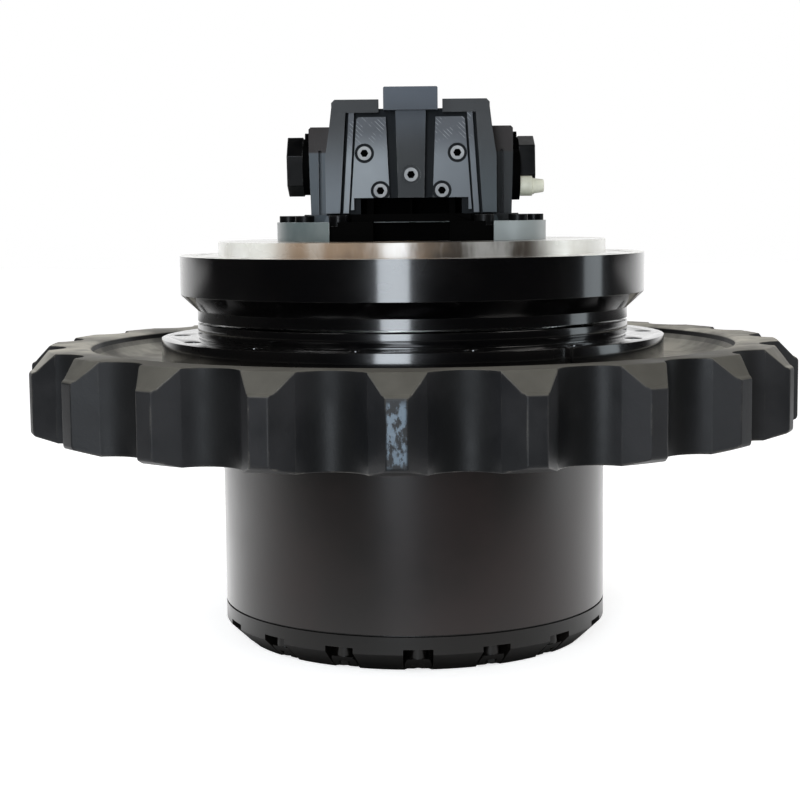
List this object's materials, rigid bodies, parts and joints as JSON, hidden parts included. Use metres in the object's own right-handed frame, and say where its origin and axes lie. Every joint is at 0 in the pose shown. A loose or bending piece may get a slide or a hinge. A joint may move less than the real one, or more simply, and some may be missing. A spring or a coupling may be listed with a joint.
{
  "type": "track drive gear reducer",
  "caption": "Planetary gear reducer with hydraulic motor, toothed track sprocket, drum-shaped gear case and bolt-on frame flange.",
  "frame": {"origin": "centre of the gear cover's flat outer face", "axes": "+Z along the output axis from the cover to the motor, -Y towards the port block's front"},
  "size_m": [0.7405, 0.7404, 0.5255],
  "materials": {
    "paint_black": "gloss black paint",
    "drum_black": "gloss black paint",
    "sprocket_grey": "dark oxide with worn edges",
    "cast_slate": "satin slate paint",
    "flange_grey": "satin",
    "bare_steel": "ground",
    "dark_steel": "black oxide",
    "cast_dark": "machined casting",
    "bronze": "machined",
    "rubber": "matte",
    "cream": "satin"
  },
  "bodies": {
    "frame": {"spindle": "paint_black", "seal_ring_still": "bare_steel", "seal_rubber_spindle": "rubber", "motor_flange": "flange_grey", "motor_bolts": "dark_steel", "port_block": "cast_slate", "face_plugs": "bare_steel", "spool_plug_left": "paint_black", "spool_plug_right": "paint_black", "spool_springs": "dark_steel", "relief_valves": "dark_steel", "pilot_cap": "cream", "swash_saddle": "bare_steel", "swash_plate": "bare_steel", "valve_plate": "bronze", "brake_spring": "dark_steel", "brake_plates": "dark_steel", "front_bearing_outer": "bare_steel", "rear_bearing_outer": "bare_steel", "shaft_seal": "rubber", "carrier_2": "cast_dark", "planet_pins_2": "bare_steel", "bearing_nut": "dark_steel", "upper_bearing_inner": "bare_steel", "lower_bearing_inner": "bare_steel"},
    "hub": {"hub": "paint_black", "ring_gear": "drum_black", "cover": "paint_black", "cover_bolts": "dark_steel", "cover_plugs": "dark_steel", "cover_seal": "rubber", "thrust_pad": "bare_steel", "sprocket": "sprocket_grey", "sprocket_bolts": "dark_steel", "upper_bearing_outer": "bare_steel", "lower_bearing_outer": "bare_steel", "seal_ring_turning": "bare_steel", "seal_rubber_hub": "rubber"},
    "upper_ball_set": {"upper_bearing_balls": "bare_steel"},
    "lower_ball_set": {"lower_bearing_balls": "bare_steel"},
    "carrier_1": {"carrier_1": "cast_dark", "planet_pins_1": "bare_steel", "sun_2": "bare_steel"},
    "input": {"motor_shaft": "bare_steel", "sun_1": "bare_steel", "cylinder_block": "bronze", "pistons": "bare_steel", "shoe_retainer": "bare_steel", "friction_discs": "bronze"},
    "front_roller_set": {"front_bearing_rollers": "bare_steel"},
    "rear_roller_set": {"rear_bearing_rollers": "bare_steel"},
    "spool": {"spool": "bare_steel"},
    "brake_piston": {"brake_piston": "bare_steel"},
    "planet_1_a": {"planet_1_a": "bare_steel"},
    "planet_1_b": {"planet_1_b": "bare_steel"},
    "planet_1_c": {"planet_1_c": "bare_steel"},
    "planet_2_a": {"planet_2_a": "bare_steel"},
    "planet_2_b": {"planet_2_b": "bare_steel"},
    "planet_2_c": {"planet_2_c": "bare_steel"},
    "planet_2_d": {"planet_2_d": "bare_steel"}
  },
  "joints": [
    {"name": "hub_spin", "type": "hinge", "parent": "frame", "child": "hub", "pos_m": [0, 0, 0.25], "axis": [0, 0, 1], "continuous": true},
    {"name": "upper_ball_set_spin", "type": "hinge", "parent": "frame", "child": "upper_ball_set", "pos_m": [0, 0, 0.2], "axis": [0, 0, 1], "continuous": true},
    {"name": "lower_ball_set_spin", "type": "hinge", "parent": "frame", "child": "lower_ball_set", "pos_m": [0, 0, 0.2], "axis": [0, 0, 1], "continuous": true},
    {"name": "carrier_1_spin", "type": "hinge", "parent": "frame", "child": "carrier_1", "pos_m": [0, 0, 0.2], "axis": [0, 0, 1], "continuous": true},
    {"name": "input_spin", "type": "hinge", "parent": "frame", "child": "input", "pos_m": [0, 0, 0.2], "axis": [0, 0, 1], "continuous": true},
    {"name": "front_roller_set_spin", "type": "hinge", "parent": "frame", "child": "front_roller_set", "pos_m": [0, 0, 0.2], "axis": [0, 0, 1], "continuous": true},
    {"name": "rear_roller_set_spin", "type": "hinge", "parent": "frame", "child": "rear_roller_set", "pos_m": [0, 0, 0.2], "axis": [0, 0, 1], "continuous": true},
    {"name": "planet_1_a_spin", "type": "hinge", "parent": "carrier_1", "child": "planet_1_a", "pos_m": [0, -0.08775, 0.068], "axis": [0, 0, 1], "continuous": true},
    {"name": "planet_1_b_spin", "type": "hinge", "parent": "carrier_1", "child": "planet_1_b", "pos_m": [0.07599, 0.04387, 0.068], "axis": [0, 0, 1], "continuous": true},
    {"name": "planet_1_c_spin", "type": "hinge", "parent": "carrier_1", "child": "planet_1_c", "pos_m": [-0.07599, 0.04387, 0.068], "axis": [0, 0, 1], "continuous": true},
    {"name": "planet_2_a_spin", "type": "hinge", "parent": "frame", "child": "planet_2_a", "pos_m": [0, -0.0945, 0.145], "axis": [0, 0, 1], "continuous": true},
    {"name": "planet_2_b_spin", "type": "hinge", "parent": "frame", "child": "planet_2_b", "pos_m": [0.0945, 0, 0.145], "axis": [0, 0, 1], "continuous": true},
    {"name": "planet_2_c_spin", "type": "hinge", "parent": "frame", "child": "planet_2_c", "pos_m": [0, 0.0945, 0.145], "axis": [0, 0, 1], "continuous": true},
    {"name": "planet_2_d_spin", "type": "hinge", "parent": "frame", "child": "planet_2_d", "pos_m": [-0.0945, 0, 0.145], "axis": [0, 0, 1], "continuous": true},
    {"name": "spool_slide", "type": "slide", "parent": "frame", "child": "spool", "axis": [1, 0, 0], "range_m": [-0.005, 0.005], "stiffness_N_per_m": 20000, "deforming": ["spool_springs"]},
    {"name": "brake_piston_slide", "type": "slide", "parent": "frame", "child": "brake_piston", "axis": [0, 0, 1], "range_m": [0, 0.0015], "stiffness_N_per_m": 40000, "springref_m": -0.003, "deforming": ["brake_spring"]}
  ],
  "couplings": [
    {"joint": "upper_ball_set_spin", "follows": "hub_spin", "ratio": 0.54225},
    {"joint": "lower_ball_set_spin", "follows": "hub_spin", "ratio": 0.54225},
    {"joint": "carrier_1_spin", "follows": "hub_spin", "ratio": -4.25},
    {"joint": "input_spin", "follows": "hub_spin", "ratio": -39.95},
    {"joint": "front_roller_set_spin", "follows": "hub_spin", "ratio": -17.044},
    {"joint": "rear_roller_set_spin", "follows": "hub_spin", "ratio": -16.56},
    {"joint": "planet_1_a_spin", "follows": "hub_spin", "ratio": 12.31},
    {"joint": "planet_1_b_spin", "follows": "hub_spin", "ratio": 12.31},
    {"joint": "planet_1_c_spin", "follows": "hub_spin", "ratio": 12.31},
    {"joint": "planet_2_a_spin", "follows": "hub_spin", "ratio": 2.6154},
    {"joint": "planet_2_b_spin", "follows": "hub_spin", "ratio": 2.6154},
    {"joint": "planet_2_c_spin", "follows": "hub_spin", "ratio": 2.6154},
    {"joint": "planet_2_d_spin", "follows": "hub_spin", "ratio": 2.6154}
  ]
}
